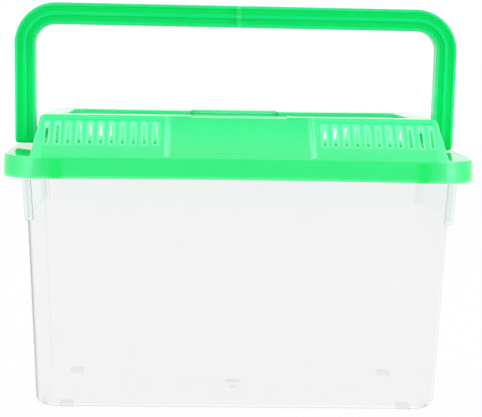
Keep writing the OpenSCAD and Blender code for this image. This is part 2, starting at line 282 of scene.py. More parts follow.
def slopeHeight(y):
    # the height of the outer slope at a distance y from the middle: a straight fall from the top to the foot
    return lidShape["top"] - slopeFall * (y - lidShape["domeTop"][1])


def endReach(z):
    # how far out the dome's end wall is at height z: a straight lean from the foot to the top
    return lidShape["domeFoot"][0] - endLean * (z - lidShape["rimTop"])


def warped(points):
    # the slight warp of the moulding: the front edge bows up along x, the end ledges bow up along y, and the
    # top sinks towards the back, most in the middle; each is 1 - (distance / half length) squared
    s = lidShape
    x, y = points[..., 0], points[..., 1]
    middle = np.clip(1 - (x / 150) ** 2, 0, 1)
    base, extra = s["backSag"]
    up = s["frontBow"] * middle * np.clip((-66 - y) / 26, 0, 1)
    up = up + s["endBow"] * np.clip(1 - (y / 94) ** 2, 0, 1) * np.clip((np.abs(x) - 134.5) / 4, 0, 1)
    raised = np.clip((points[..., 2] - s["rimTop"]) / 20, 0, 1)
    down = (base + extra * middle) * np.clip((y + 66) / 134, 0, 1) * raised
    moved = points.copy()
    moved[..., 2] += up - down
    return moved


def panelEdge(y):
    # half the plain panel's width at a distance y from the middle, which grows evenly down the slope
    high, low = lidShape["panelHalf"]
    return high + (low - high) * (np.abs(y) - 65.0) / 31.5


def slopeDip(x, y):
    # how far the slope is sunk: the plain panel in the middle, and the shallow field round each bank
    s = lidShape
    start = np.where(y < 0, s["frontStart"], s["backStart"])
    foot = np.where(y < 0, s["frontEnd"], s["backEnd"]) + 2.0
    x, y = np.abs(x), np.abs(y)
    panel = s["panelDepth"] * step(panelEdge(y) - x, -0.25, 0.25) * step(y, 67.9, 68.5)
    field = s["fieldDepth"] * step(x - start, -4.8, -4.3) * step(y, 70.9, 71.3)
    return panel + field * (1 - step(y, foot - 0.3, foot + 0.3))


def cellLoop(grid, rows, cols):
    # the points round a rectangle of grid cells, in order: first row, last column, last row, first column
    return np.concatenate([grid[rows[0], cols[:-1]], grid[rows[:-1], cols[-1]],
                           grid[rows[-1], cols[:0:-1]], grid[rows[:0:-1], cols[0]]])


def stadium(radius, half, across, along):
    # a slot's outline as (u, v), two half circles joined by straight sides: across pieces on each round end,
    # along pieces on each side
    a = math.pi * np.arange(across) / across
    run = half * (2 * np.arange(along) / along - 1)
    u = np.concatenate([-radius * np.cos(a), radius + 0 * run, radius * np.cos(a), -radius + 0 * run])
    v = np.concatenate([-half - radius * np.sin(a), run, half + radius * np.sin(a), -run])
    return u, v


def buildLid(material):
    # one closed grid: its rows go up over the outer skin and back down under the inner one, and its columns go
    # round the lid; a row is a rounded rectangle whose ends, sides and corners follow outlines of their own.
    # The slots and the pivot bosses are rings set into holes in that grid
    s = lidShape
    rim, foot, top, recess = (np.array(s[k]) for k in ("rim", "domeFoot", "domeTop", "recess"))
    wall, high, floor = s["wall"], s["top"], s["recessFloor"]
    rimCorner, recessCorner = s["rimCorner"], s["recessCorner"]
    # rows down the slope: distances from the middle, and the heights on the end walls that go with them
    windowY = np.concatenate([np.linspace(71.2, 88.2, 11), [88.8, 90.2, 91.6, 93.0]])
    windowZ = np.linspace(183.6, 166.9, len(windowY))
    slopeY = np.concatenate([[68.6, 69.3, 70.6, 70.9], windowY, [93.6, 94.6]])
    slopeZ = np.concatenate([[187.4, 186.4, 184.6, 184.2], windowZ, [166.65, 166.4]])
    # end outline: (reach, height, rounding, corner radius, points); side outlines: (reach, height, rounding)
    under = rim - wall
    opening = recess - s["rebate"]
    ends = [(rim[0], s["rimLow"], 0.5, rimCorner, 3), (rim[0] - 0.07, s["rimLow"] + 2.2, 0, rimCorner - 0.07, 1),
            (rim[0] - s["rimLean"], s["rimTop"], 1.2, rimCorner - s["rimLean"], 5),
            (foot[0], s["rimTop"], 1.0, foot[0] - s["domeStraight"], 4)]
    side = [(rim[1], s["rimLow"], 0.5), (rim[1] - 0.05, s["rimLow"] + 2.2, 0),
            (rim[1] - 0.3, s["rimTop"] - 0.5, 0.7), (foot[1], s["rimTop"], 8.0)]
    for y, z in zip(slopeY[::-1], slopeZ[::-1]):
        ends.append((endReach(z), z, 0, endReach(z) - s["domeStraight"], 1))
        side.append((y, slopeHeight(y), 0))
    lastSlope = len(ends)
    ends += [(top[0], high, 4.0, top[0] - s["domeStraight"], 7),
             (recess[0], high, 0.5, recessCorner, 3), (recess[0], floor, 0.3, recessCorner, 2),
             (recess[0] - 1.5, floor, 0, recessCorner - 1.5, 1), (recess[0] - 3, floor, 0, recessCorner - 3, 1),
             (opening[0], floor, 0.3, recessCorner - s["rebate"], 2),
             (opening[0], floor - 2, 0.3, recessCorner - s["rebate"], 2),
             (recess[0] + 2, floor - 2, 0.5, recessCorner + 2, 2),
             (recess[0] + 2, high - wall, 0.3, recessCorner + 2, 2), (126.52, high - wall, 2.2, 1.72, 4)]
    # side outlines of the plain lid, of the finger well and of the hinge's pocket
    plain = [(top[1], high, 1.6), (recess[1], high, 0.5), (recess[1], floor, 0.3), (47.5, floor, 0),
             (46, floor, 0), (opening[1], floor, 0.3), (opening[1], floor - 2, 0.3),
             (recess[1] + 2, floor - 2, 0.5), (recess[1] + 2, high - wall, 0.3), (67.3, high - wall, 0.6)]
    well = [(top[1], high, 1.6), (66.4, high - 0.9, 0.2), (68.4, floor - 2, 0.3), (46, floor - 2, 0.3),
            (46, floor, 0.2), (opening[1], floor, 0.3), (opening[1], floor - 4, 0.3), (70, floor - 4, 0.5),
            (70, floor, 0), (70.05, floor + 0.1, 0)]
    pocket = [(top[1], high, 1.6), (55.4, high, 0.5), (55.4, 186.0, 0.3), (47, 186.0, 0), (46, floor, 0),
              (opening[1], floor, 0.3), (opening[1], 184.0, 0.3), (57.4, 184.0, 0.5), (57.4, high - wall, 0.3),
              (67.3, high - wall, 0.6)]
    # the inner skin, from the top down to the rim's bottom
    underSide = []
    for y, z in zip(windowY, windowZ):
        reach = endReach(z) - endDrop
        ends.append((reach, z, 0, reach - s["domeStraight"], 1))
        underSide.append((y, slopeHeight(y) - slopeDrop, 0))
    ends += [(131.52, s["rimTop"] - wall, 1.0, 6.72, 3),
             (under[0] - 0.3, s["rimTop"] - wall, 1.0, rimCorner - wall - 0.2, 3),
             (under[0], s["rimLow"], 0.5, rimCorner - wall, 3)]
    underSide += [(94.6, 164.06, 0.1), (under[1], s["rimTop"] - wall, 0.1), (under[1], s["rimLow"], 0.5)]
    counts = [entry[4] for entry in ends]
    endLine = rounded([entry[:4] for entry in ends], counts)
    lines = [rounded(side + middle + underSide, counts) for middle in (plain, well, pocket)]
    firsts = np.cumsum([0] + counts)  # the first row of each entry
    windowRow = firsts[4 + 2 + np.arange(len(windowY))][::-1]  # outer window rows, top one first
    innerRow = firsts[len(side) + len(plain) + np.arange(len(windowY))]
    topRows = slice(firsts[lastSlope], firsts[lastSlope + 6])
    lowRows = slice(firsts[lastSlope + 6], firsts[lastSlope + 10])
    slopeRows = slice(firsts[4], firsts[lastSlope + 1])
    # columns: distances from the middle, closer at the side walls of the well and pocket and at the panel's edge
    core = [8, 16, 24, 29.8, 30.8, 30.8, 31.8, 32.8, 32.8, 36, 40, 43.5, 45.9, 46.2, 46.4, 46.6, 46.8, 47.1, 48.2]

    def bankEdges(start):
        return np.append(start + s["pitch"] * (np.arange(s["slots"]) - 0.5), s["domeStraight"])

    def columns(start):
        edges = bankEdges(start)
        fine = (edges[:-1, None] + (edges[1:] - edges[:-1])[:, None] * np.arange(6) / 6).ravel()
        return mirrored(np.concatenate([core, start - np.array([4.9, 4.55, 4.2]), fine, [s["domeStraight"]]]))
    endHalf = np.concatenate([np.arange(1, 7) * 1.5, [18, 30, 43, 56, 69, 80, 87.5]])
    ring = Ring(columns(s["frontStart"]), mirrored(endHalf), columns(s["backStart"]), 8)
    px, py, nx, ny = ring.stations.T
    width = np.repeat(lines[0][:, :1], len(px), 1)
    height = np.repeat(lines[0][:, 1:], len(px), 1)
    # the finger well and the hinge's pocket: other outlines on the columns between their side walls
    centreColumn = len(ring.front) // 2
    for line, at, size in ((lines[1], ring.frontAt, len(ring.front)), (lines[2], ring.backAt, len(ring.back))):
        middle = at + size // 2
        for rows, reach in ((topRows, 5), (lowRows, 8)):
            cols = slice(middle - reach, middle + reach + 1)
            width[rows, cols] = line[rows, :1]
            height[rows, cols] = line[rows, 1:]
    # the top's front edge keeps its plain rounding over the well
    lipRows, lipCols = slice(firsts[lastSlope], firsts[lastSlope + 1]), slice(centreColumn - 5, centreColumn + 6)
    width[lipRows, lipCols], height[lipRows, lipCols] = lines[0][lipRows, :1], lines[0][lipRows, 1:]
    grid = ring.loft(endLine[:, :1], width, endLine[:, 2:3], height, endLine[:, 1:2], 50.0, 9.0)
    # panel edges slant; the panel and the fields are sunk into the slope
    slope = grid[slopeRows]
    onEdge = (np.abs(px) > 45.8) & (np.abs(px) < 47.2) & (np.abs(ny) > 0.5)
    slope[..., 0] += np.where(onEdge, np.sign(px) * (panelEdge(slope[..., 1]) - 46.5), 0)
    slope[..., 2] -= slopeDip(slope[..., 0], slope[..., 1]) * ny ** 4
    lip = grid[lipRows, lipCols]
    lip[..., 2] += slopeDip(lip[..., 0], lip[..., 1]) - s["panelDepth"]
    # the line colour, painted highlights: along the rim's bottom and round its corners, and along the panel's
    # edges, more so towards their foot
    marks = np.zeros(grid.shape[:2])
    marks[:firsts[3]] = 0.5 * np.exp(-((np.degrees(np.arcsin(np.abs(nx))) - 22) / 12) ** 2)
    marks[:firsts[1]] = 0.5
    marks[slopeRows] = np.where(onEdge, 0.35 + 0.65 * np.clip((np.abs(slope[..., 1]) - 68.0) / 26.0, 0, 1), 0)
    grid = np.concatenate([grid, marks[..., None]], 2)
    rows, cols = grid.shape[:2]
    quads = gridFaces(rows, cols, True, True)
    keep = np.ones(quads.shape[:2], bool)
    parts = []
    # slots: rings from the cell's edge in to the slot's outline, down through the wall, and out to the inner skin
    for back in (False, True):
        start, stop = (s["backStart"], s["backEnd"]) if back else (s["frontStart"], s["frontEnd"])
        stations = ring.back if back else ring.front
        down = len(windowY) - 1 if back else 10
        half = (stop - s["slotTop"]) / 2 - s["slotHalf"]
        middleY = (stop + s["slotTop"]) / 2
        edges = bankEdges(start)
        for number in range(s["slots"]):
            for hand in (-1, 1):
                left = edges[number] if hand > 0 else -edges[number + 1]
                at = np.searchsorted(stations, left - 1e-6) + np.arange(7)
                column = ring.backAt + len(stations) - 1 - at if back else ring.frontAt + at
                r = windowRow[:down + 1]
                outer = cellLoop(grid, r, column)
                inner = cellLoop(grid, innerRow[:down + 1], column)
                cells = np.minimum(column[:-1], column[1:])[None]
                keep[r[1:, None], cells] = False
                keep[innerRow[:down][:, None], cells] = False
                centre = hand * (start + s["pitch"] * number)
                room = np.abs(hand * s["domeStraight"] - centre) - s["slotHalf"]
                rings = [outer]
                # each ring's mark is its share of painted highlight along the slot's rounded rim
                for offset, drop, mark in ((1.1, 0, 0.3), (0.7, 0.03, 0.6), (0.35, 0.18, 0.9), (0.1, 0.45, 1.0),
                                           (0, 0.8, 1.0), (0, None, 0.6)):
                    u, v = stadium(s["slotHalf"], half, 6, down)
                    grow = offset / s["slotHalf"]
                    tight = np.where(u * hand > 0, min(1.0, (room - 0.1) / 1.1), 1.0)
                    endV = np.sign(v) * np.maximum(np.abs(v) - half, 0)
                    x = centre + u * (1 + grow * tight)
                    y = (middleY + v + endV * grow) * (1 if back else -1)
                    z = slopeHeight(np.abs(y)) - (slopeDrop if drop is None else slopeDip(x, y) + drop)
                    rings.append(np.stack([x, y, z, mark + 0 * x], -1))
                parts.append(sheet(np.stack(rings + [inner]), False, True))
    # pivot bosses: rings from the cell's edge on the end wall out to the boss's face, then in through its hole;
    # each ring is (radius, how proud of the leaning wall, or its own reach)
    boss, hole, face = s["bossRadius"], s["holeRadius"], s["bossFace"]
    bossRings = ((boss + 0.8, 0, None), (boss + 0.25, 0.1, None), (boss + 0.02, 0.45, None),
                 (boss, None, face - 0.35), (boss - 0.1, None, face - 0.1), (boss - 0.35, None, face),
                 (hole + 0.37, None, face), (hole + 0.07, None, face - 0.12), (hole, None, face - 0.4),
                 (hole, -endDrop, None))
    for hand in (-1, 1):
        at = np.arange(len(ring.ends) // 2 - 6, len(ring.ends) // 2 + 7)
        column = ring.rightAt + at if hand > 0 else ring.leftAt + at
        outer = cellLoop(grid, windowRow, column)
        inner = cellLoop(grid, innerRow, column)
        keep[windowRow[1:, None], column[None, :-1]] = False
        keep[innerRow[:-1, None], column[None, :-1]] = False
        angle = np.arctan2(outer[:, 2] - s["pivotHeight"], outer[:, 1])
        rings = [outer]
        for radius, proud, reach in bossRings:
            y, z = radius * np.cos(angle), s["pivotHeight"] + radius * np.sin(angle)
            x = np.full_like(y, reach) if proud is None else np.minimum(endReach(z) + proud, face - 0.35)
            rings.append(np.stack([hand * x, y, z, 0 * x], -1))
        parts.append(sheet(np.stack(rings + [inner]), False, True))
    used, numbers = np.unique(quads[keep], return_inverse=True)
    parts.append((grid.reshape(-1, 4)[used], numbers.reshape(-1, 4)))
    parts = [(warped(points), faces) for points, faces in parts]
    return makePiece("lid_shell", parts, material, "lid", "lid")


tubShape = {
    "foot": (130.5, 73.8), "draft": 0.0509, "cornerLow": 16.0, "cornerHigh": 20.0, "height": 163.4, "wall": 1.8,
    "floor": 1.4, "floorWall": 2.1, "fillet": 6.0, "flange": (148.0, 93.7, 24.2), "hemLow": 155.0,
    "shoulderLow": 123.0, "shoulderOut": 2.8, "shoulderTaper": 0.9, "shoulderHalf": 72.6, "shoulderSoft": 1.2,
    "feet": (110.6, 59.0, 0.0), "footHalf": (4.5, 7.0), "gateRadius": 5.2, "gateY": 12.0,
    "play": 0.3, "leftShoulder": 1.2}


def tubRings(levels):
    # levels of (half length, half width, corner radius, height, half width and reach of the shoulder, painted
    # shade (line colour) of the corner (below 0: of the shoulder's edges) and of the whole ring). Each ring is a
    # rounded rectangle: a quarter of it taken to all four corners, with the end wall pushed out to the shoulder's
    # reach
    length, width, corner, z, edge, reach, upright, level = np.array(levels, float).T[:, :, None]
    stepped = ~np.isnan(reach)
    soft = tubShape["shoulderSoft"]
    straight = np.linspace(0, 1, 9)[None]
    sx, sy = length - corner, width - corner
    turn = np.arccos(np.clip((edge - sy) / corner, 0.0, 0.98))
    near = np.clip(turn - soft / corner, turn * 0.5, None)
    before = np.concatenate([np.linspace(0, 1, 6)[None, 1:] * near, turn], 1)
    after = turn + (math.pi / 2 - turn) * np.linspace(0, 1, 9)[None]

    def arc(a):
        return np.stack([sx + corner * np.sin(a), -sy - corner * np.cos(a)], -1)
    front = np.stack([straight * sx, -width + 0 * straight], -1)
    end = np.stack([length + 0 * straight, -sy * (1 - straight)], -1)[:, 1:]
    pushed = np.concatenate([arc(after), end], 1)
    pushed[..., 0] = np.where(stepped, np.maximum(reach, pushed[..., 0]), pushed[..., 0])
    # two more stations on the shoulder's front: just outside its inner edge, just inside its outer one
    corners = arc(before)[:, -1:]
    width1, width2 = (np.where(stepped, np.clip(w, 0, None), 0) for w in (soft, reach - soft - corners[..., 0]))
    face = np.concatenate([corners + np.stack([np.minimum(width1, width2), 0 * width2], -1),
                           corners + np.stack([width2, 0 * width2], -1)], 1)
    quarter = np.concatenate([front, arc(before), face, pushed], 1)
    # the line colour, painted shade: a soft band round the corner at 66 degrees, and the shoulder's two edges
    angles = np.degrees(np.concatenate([0 * front[..., 0], before, turn, turn, after, 90 + 0 * end[..., 0]], 1))
    marks = np.maximum(level, np.maximum(upright, 0) * np.exp(-((angles - 66) / 9) ** 2))
    marks[:, -end.shape[1]:] *= 0.2  # fainter along the end walls
    joint, tip = front.shape[1] + before.shape[1] - 1, front.shape[1] + before.shape[1] + 2
    marks[:, joint] = np.where(upright[:, 0] < 0, 1.0, marks[:, joint])
    marks[:, tip] = np.where(upright[:, 0] < 0, 0.2, marks[:, tip])
    quarter = np.concatenate([quarter, marks[..., None]], 2)
    behind = quarter[:, -2::-1] * [1, -1, 1]
    behind[..., 2] *= np.where(level > 0, 0.06, np.where(stepped, 0.35, 0.22))  # fainter in the back half
    right = np.concatenate([quarter, behind], 1)
    whole = np.concatenate([right, right[:, -2:0:-1] * [-1, 1, 1]], 1)
    return np.insert(whole, 2, np.broadcast_to(z, whole.shape[:2]), 2)


def buildTub(material):
    # rings stacked up the outer skin, over the hem and down the inner skin; each wall leans out by the draft
    s = tubShape
    none = float("nan")

    def form(z, inset, pull=0.0, reach=none, level=0.0):
        # the ring at height z: inset is the wall's thickness on the inner skin, pull how far the fillet or the
        # floor lies inside the wall. Low down the shoulder's edge is kept on the corner's arc
        corner = s["cornerLow"] + (s["cornerHigh"] - s["cornerLow"]) * z / s["height"] - inset
        out = s["draft"] * z - inset - pull
        edge = s["shoulderHalf"] - inset
        if z <= 105:
            edge = min(edge, s["foot"][1] + out - 0.25 * corner)
        level *= 0.6 if inset else 1.0
        upright = 0.0 if inset or pull > s["fillet"] else 1.0 if z <= s["shoulderLow"] else -1.0
        return (s["foot"][0] + out, s["foot"][1] + out, max(corner - pull, 2.0), z, edge, reach, upright, level)

    def shoulderReach(z, inset):
        # the end wall's line, plus the shoulder's full reach at the top and less of it lower down
        share = (z - s["shoulderLow"]) / (s["height"] - 2 - s["shoulderLow"])
        return s["foot"][0] + s["draft"] * z + s["shoulderOut"] - s["shoulderTaper"] * (1 - share) - inset

    def wallRows(inset, low, fillet, top):
        turns = np.radians(np.linspace(0, 90, 8))
        rows = [form(low, inset, fillet + 12), form(low, inset, fillet + 4)]
        # painted shade: the levels darken a band round the bottom's rounded edge, in the line colour
        rows += [form(low + fillet * (1 - math.cos(a)), inset, fillet * (1 - math.sin(a)), none, level)
                 for a, level in zip(turns, (0.6, 0.85, 0.55, 0.12, 0, 0, 0, 0))]
        rows += [form(z, inset) for z in (20, 45, 75, 105, 116)]
        start = s["shoulderLow"] + inset
        rows.append(form(start, inset))
        ease = s["shoulderSoft"]
        for a in np.radians(np.linspace(0, 90, 6)):
            z = start + ease * (1 - math.cos(a))
            rows.append(form(z, inset, 0, shoulderReach(z, inset) - ease * (1 - math.sin(a))))
        rows += [form(z, inset, 0, shoulderReach(z, inset)) for z in (135, 148, 158, top)]
        return rows
    # the outer skin, the flange with its hem turned down outside it, and the inner skin
    fl, fw, fr = s["flange"]
    outer = wallRows(0, s["floor"], s["fillet"], s["height"] - 2)
    hem = [(fl - less, fw - less, fr - less, z, s["shoulderHalf"], none, 0, 0)
           for less, z in ((1.6, s["height"] - 2), (1.6, s["hemLow"]), (0, s["hemLow"]), (0, s["height"] - 0.4),
                           (0.4, s["height"]))]
    close = wallRows(s["wall"], s["floor"] + s["floorWall"], s["fillet"] - s["wall"], s["height"] - 2 - s["wall"])
    close += [form(s["height"] - 2 - s["wall"], s["wall"]), form(s["height"] - 0.3, s["wall"]),
              form(s["height"], s["wall"], -0.3)]
    parts = capped(tubRings(outer + hem + close[::-1]))
    footLevels = [(0.5, 0.0), (0.15, 0.12), (0, 0.45), (0, 2.4), (0.2, 2.5)]
    # painted shade: the feet carry a little of the line colour
    for corner in ((-1, -1, 0), (-1, 1, 0), (1, -1, 0), (1, 1, 0)):
        for points, faces in plate(*s["footHalf"], 2.0, footLevels):
            parts.append((marked(points + np.multiply(corner, s["feet"]), 0.18), faces))
    # the gate mark: a stub under the floor, and the low disc on the floor's inner face
    parts += rod(2.0, [(0.9, 0.3), (1.1, 0), (2.4, 0)], (0, 0, 0), 2)
    disc = [(3.2, 0.3), (3.5, 0), (3.8, 0.4), (3.95, 1.4)]
    # painted shade: the low disc carries a little of the line colour
    for points, faces in rod(s["gateRadius"], disc, (0, s["gateY"], 0), 2):
        parts.append((marked(points, 0.3), faces))
    parts = [(points + [s["play"], 0, 0, 0][:points.shape[1]], faces) for points, faces in parts]
    # the left shoulder stands out a little less than the right one
    x, y, z = parts[0][0].T[:3]
    left = (x < -100) & (z > s["shoulderLow"] + 0.1) & (z < s["hemLow"] - 0.1)
    x += s["leftShoulder"] * (left & (np.abs(y) < s["shoulderHalf"] + 0.01))
    return makePiece("tub_shell", parts, material, "tub", "tub")


handleShape = {
    "top": 263.0, "barHeight": 14.6, "depth": 14.0, "halfTop": 149.4, "halfFoot": 148.4, "legTop": 13.8,
    "legFoot": 14.0, "roundOut": 28.0, "roundIn": 13.4, "pivotHeight": 175.0, "footRound": 7.2, "footSoft": 1.5,
    "channels": ((0.155, 0.41), (0.585, 0.84)), "channelDepth": 3.0, "channelFoot": 170.6, "studRadius": 3.4,
    "play": -0.85, "tilt": 0.004, "tiltHeight": 215.0}


def archPoint(share, leg, turn, bar):
    # a point on the arch at a share of the handle's width: leg 0 to 1 up the left leg, turn 0 to 1 round its
    # corner, bar 0 to 1 along the bar to its middle
    s = handleShape
    radius = s["roundOut"] + share * (s["roundIn"] - s["roundOut"])
    top = s["top"] - share * s["barHeight"]
    low = s["pivotHeight"] - s["footRound"]
    xTop, xFoot = s["halfTop"] - share * s["legTop"], s["halfFoot"] - share * s["legFoot"]
    angle = turn * math.pi / 2
    x = xFoot + (xTop - xFoot) * leg - radius * (1 - np.cos(angle)) - (xTop - radius) * bar
    z = low + (top - radius - low) * leg + radius * np.sin(angle)
    return -x, z


def buildHandle(material):
    # the cross-section carried along the left leg, its corner and half the bar, then mirrored
    s = handleShape
    half = s["depth"] / 2
    (a, b), (c, d) = s["channels"]
    floor = half - s["channelDepth"]
    # the cross-section from the arch's outer face to its inner one, along the back: share of the width,
    # distance from the middle, and whether it is in a channel
    line = [(0, half - 0.9, 0), (0.006, half - 0.5, 0), (0.025, half - 0.12, 0), (0.055, half, 0)]
    for low, high in ((a, b), (c, d)):
        line += [(low - 0.02, half, 0), (low - 0.004, half - 0.08, 0), (low + 0.002, half - 0.35, 0),
                 (low + 0.012, floor + 0.3, 1), (low + 0.03, floor, 1), (high - 0.03, floor, 1),
                 (high - 0.012, floor + 0.3, 1), (high - 0.002, half - 0.35, 0), (high + 0.004, half - 0.08, 0),
                 (high + 0.02, half, 0)]
    line += [(0.945, half, 0), (0.975, half - 0.12, 0), (0.994, half - 0.5, 0), (1, half - 0.9, 0)]
    line = np.array(line)
    share, depth, hollow = np.concatenate([line, line[::-1] * [1, -1, 1]]).T
    # stations: millimetres above the foot, then the corner, then the bar with a low rib across its middle
    span = s["top"] - s["roundOut"] - s["pivotHeight"] + s["footRound"]
    rise = np.array([0.04, 0.12, 0.3, 0.6, 1.0, 1.6, 2.2, 2.75, 2.85, 3.3, 4.2, 5.4, 6.6, 7.2, 12, 24, 40, span])
    turn = np.linspace(0, 1, 21)[1:]
    bar = np.concatenate([np.linspace(0, 1, 7)[1:-1], [0.9935, 0.9955, 1.0]])
    leg = np.concatenate([rise / span, np.ones(len(turn) + len(bar))])[:, None]
    turns = np.concatenate([0 * rise, turn, np.ones(len(bar))])[:, None]
    bars = np.concatenate([0 * rise, 0 * turn, bar])[:, None]
    above = leg * span

    def arcReach(radius):
        # how far a quarter circle that starts at the foot has come out, at each station
        return np.sqrt(np.clip(radius ** 2 - (radius - above) ** 2, 0, None))
    # the leg's end is rounded from front to back by the foot's radius, and a little from side to side
    reach = np.minimum(np.where(above < s["footRound"], arcReach(s["footRound"]), half), half)
    soft = s["footSoft"]
    narrow = 1 - np.where(above < soft, soft - arcReach(soft), 0) / (s["legFoot"] / 2)
    shares = 0.5 + (share - 0.5) * narrow
    x, z = archPoint(shares, leg, turns, bars)
    # the channels stop above the foot and at the rib
    face = np.maximum(np.abs(depth) - (half - reach), 0.08)
    closed = (above < s["channelFoot"] - s["pivotHeight"] + s["footRound"]) | (bars > 0.995)
    filled = np.where(bars > 0.995, half - 0.25, reach)
    y = np.where(hollow > 0, np.where(closed, filled, np.minimum(floor, reach)), face)
    # painted highlights, in the line colour, run along the outer and inner edges of both faces
    nearest = np.minimum(share, 1 - share)
    edge = (1 - step(nearest, 0.0, 0.11)) * step(np.abs(depth), half - 2.4, half - 0.9)
    left = np.stack([x, np.sign(depth) * y, z, edge + 0 * x], -1)
    right = left[-2::-1] * [-1, 1, 1, 1]
    arch = np.concatenate([left, right])
    # the arch hangs a little askew: turned by the tilt about a point between the studs and the bar
    x, z = arch[..., 0].copy(), arch[..., 2].copy()
    arch[..., 0] = x + s["play"] + s["tilt"] * (z - s["tiltHeight"])
    arch[..., 2] = z - s["tilt"] * x
    parts = capped(arch)
    inner = s["halfFoot"] - s["legFoot"]
    for hand in (-1, 1):
        levels = [(hand * (inner + 2), 0), (hand * (inner - 8.5), 0), (hand * (inner - 9), 0.5)]
        parts += rod(s["studRadius"], levels, (0, 0, s["pivotHeight"]), 0)
    return makePiece("handle_arch", parts, material, "handle", "handle")


hatchShape = {
    "half": (111.9, 48.4), "corner": 9.4, "low": 186.9, "thick": 1.7, "hingeY": 52.0, "hingeZ": 189.4,
    "barrel": 2.4, "barrelHalf": 30.0, "pin": 1.2, "pinReach": 2.4}


def buildHatch(material):
    # a rounded plate, with the arm and barrel run along its back edge and a round pin at each end
    s = hatchShape
    low, high = s["low"], s["low"] + s["thick"]
    levels = [(0.35, low), (0.08, low + 0.1), (0, low + 0.35), (0, high - 0.4), (0.12, high - 0.12), (0.4, high)]
    parts = plate(*s["half"], s["corner"], levels, 8, 24)
    # the arm and the barrel: one outline along Y and Z, run along the hinge
    angle = np.radians(np.linspace(-90, 200, 24))
    outline = np.concatenate([[(46.4, low + 0.05)], np.stack([s["hingeY"] + s["barrel"] * np.cos(angle),
                              s["hingeZ"] + s["barrel"] * np.sin(angle)], -1), [(46.4, high - 0.05)]])
    x = np.array([-1, -0.99, 0.99, 1])[:, None, None] * s["barrelHalf"]
    centre = outline.mean(0)
    grow = np.array([0.96, 1, 1, 0.96])[:, None, None]
    swept = np.concatenate([x + 0 * outline[None, :, :1], centre + (outline - centre) * grow], -1)
    parts += capped(swept)
    for hand in (-1, 1):
        levels = [(hand * (s["barrelHalf"] - 2), 0), (hand * (s["barrelHalf"] + s["pinReach"] - 0.3), 0),
                  (hand * (s["barrelHalf"] + s["pinReach"]), 0.3)]
        parts += rod(s["pin"], levels, (0, s["hingeY"], s["hingeZ"]), 0, 20)
    parts = [(warped(points), faces) for points, faces in parts]
    return makePiece("hatch_plate", parts, material, "hatch", "hatch")


stageLook = {"floor": srgb(252, 252, 252), "speck": srgb(249, 249, 249), "surround": 0.66, "keyPower": 9.0,
             "leftPower": 4.0, "rightPower": 9.0, "topPower": 7.0}
# focal length and image width in pixels, place in metres, angles in degrees
cameraLook = {"focal": 1765.7, "imageWidth": 482, "place": (-0.0385, -1.203, 0.2412), "yaw": 2.03,
              "pitch": 5.5, "roll": 0.91}


def makeStage():
    scene = bpy.context.scene
    scene.view_settings.view_transform = "Standard"
    size = 3.0
    mesh = bpy.data.meshes.new("floor")
    mesh.from_pydata([(-size, -size, 0), (size, -size, 0), (size, size, 0), (-size, size, 0)], [], [(0, 1, 2, 3)])
    floor = bpy.data.objects.new("floor", mesh)
    scene.collection.objects.link(floor)
    # the floor: nearly white where it is seen, with the object's shadow left on it
    material, tree = newMaterial("pale floor")
    speck = tree.noise(tree.spot(), 9.0)
    shade = tree.add("ShaderNodeBsdfPrincipled", None, {
        "Base Color": tree.blend(speck, stageLook["floor"], stageLook["speck"]), "Roughness": 0.9})[0]
    glow = tree.add("ShaderNodeEmission", None, {"Color": (1, 1, 1, 1), "Strength": 1.0})[0]
    tree.finish(tree.add("ShaderNodeMixShader", None, {0: tree.seen() * 0.95, 1: shade, 2: glow})[0])
    mesh.materials.append(material)
    # the world: white where it is seen, mirrored or looked at through plastic, and softer as a lamp
    world = bpy.data.worlds.new("studio")
    scene.world = world
    tree = Tree(world)
    lamp = tree.add("ShaderNodeBackground", None, {0: (1, 1, 1, 1), 1: stageLook["surround"]})[0]
    white = tree.add("ShaderNodeBackground", None, {0: (1, 1, 1, 1), 1: 1.0})[0]
    tree.finish(tree.add("ShaderNodeMixShader", None, {0: tree.seen(), 1: lamp, 2: white})[0],
                "ShaderNodeOutputWorld")


def turned(right, up, back, place):
    # a matrix from three axes and a place
    return Matrix(np.vstack([np.column_stack([right, up, back, place]), [0, 0, 0, 1]]).tolist())


def makeLamp(name, power, size, place, aim):
    # a rectangle of light at a place, turned to face aim, with two sides level
    lamp = bpy.data.lights.new(name, "AREA")
    lamp.energy, lamp.shape, lamp.size, lamp.size_y = power, "RECTANGLE", size[0], size[1]
    obj = bpy.data.objects.new(name, lamp)
    away = np.array(place) - np.array(aim)
    back = away / np.linalg.norm(away)
    side = np.cross((0, 0, 1), back)
    side = side / np.linalg.norm(side)
    obj.matrix_world = turned(side, np.cross(back, side), back, place)
    bpy.context.scene.collection.objects.link(obj)


def makeCamera():
    # looking ahead by yaw and pitch, then rolled about that line
    yaw, pitch, roll = (math.radians(cameraLook[key]) for key in ("yaw", "pitch", "roll"))
    ahead = np.array([math.sin(yaw) * math.cos(pitch), math.cos(yaw) * math.cos(pitch), -math.sin(pitch)])
    level = np.array([math.cos(yaw), -math.sin(yaw), 0.0])
    right = math.cos(roll) * level + math.sin(roll) * np.cross(level, ahead)
    up = np.cross(right, ahead)
    data = bpy.data.cameras.new("camera")
    data.sensor_width, data.lens = 36.0, 36.0 * cameraLook["focal"] / cameraLook["imageWidth"]
    data.clip_start, data.clip_end = 0.05, 20.0
    camera = bpy.data.objects.new("camera", data)
    camera.matrix_world = turned(right, up, -ahead, cameraLook["place"])
    bpy.context.scene.collection.objects.link(camera)
    bpy.context.scene.camera = camera


makeStage()
makeCamera()
makeLamp("front lamp", stageLook["keyPower"], (1.6, 1.2), (-0.5, -1.9, 1.3), (0, 0, 0.15))
makeLamp("left lamp", stageLook["leftPower"], (0.7, 1.5), (-1.5, -0.35, 0.8), (0, 0, 0.2))
makeLamp("right lamp", stageLook["rightPower"], (0.7, 1.5), (1.3, -1.0, 0.8), (0, 0, 0.2))
makeLamp("top lamp", stageLook["topPower"], (1.6, 1.6), (0.1, 0.5, 1.9), (0, 0, 0.15))
print("stage, lamps and camera made")


